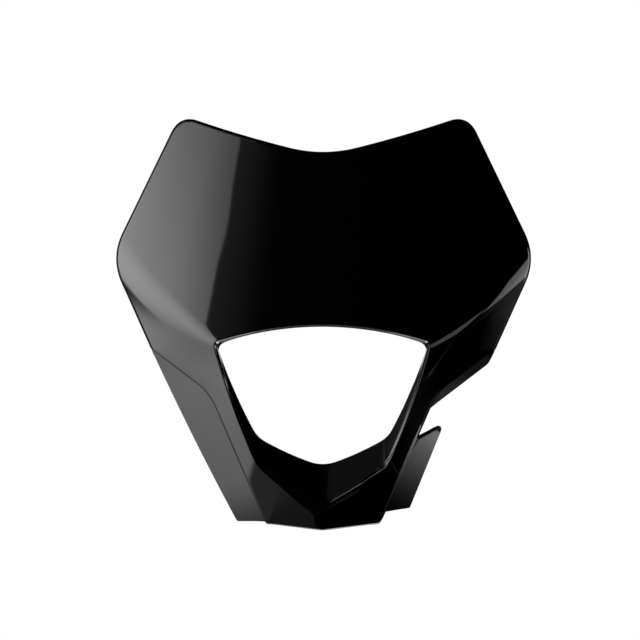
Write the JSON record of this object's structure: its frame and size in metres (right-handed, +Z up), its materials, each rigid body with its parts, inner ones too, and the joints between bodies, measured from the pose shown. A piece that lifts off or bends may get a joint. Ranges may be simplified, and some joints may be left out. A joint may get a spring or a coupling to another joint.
{
  "type": "motorcycle headlight cowl",
  "caption": "Gloss-black moulded enduro headlight cowl: a curved number plate over a lamp window, folded arms and side panels, a pointed chin and a hose notch on one side.",
  "frame": {"origin": "centre of the four lamp screw bosses, on the plane of their rear faces, about the middle of the lamp window", "axes": "+X to the viewer's right, -Y is the front of the cowl and +Y points back along the lamp screws, +Z up"},
  "size_m": [0.2826, 0.0935, 0.2795],
  "materials": {
    "moulding": "gloss black, moulded in colour"
  },
  "bodies": {
    "root": {"cowl": "moulding"}
  },
  "joints": []
}
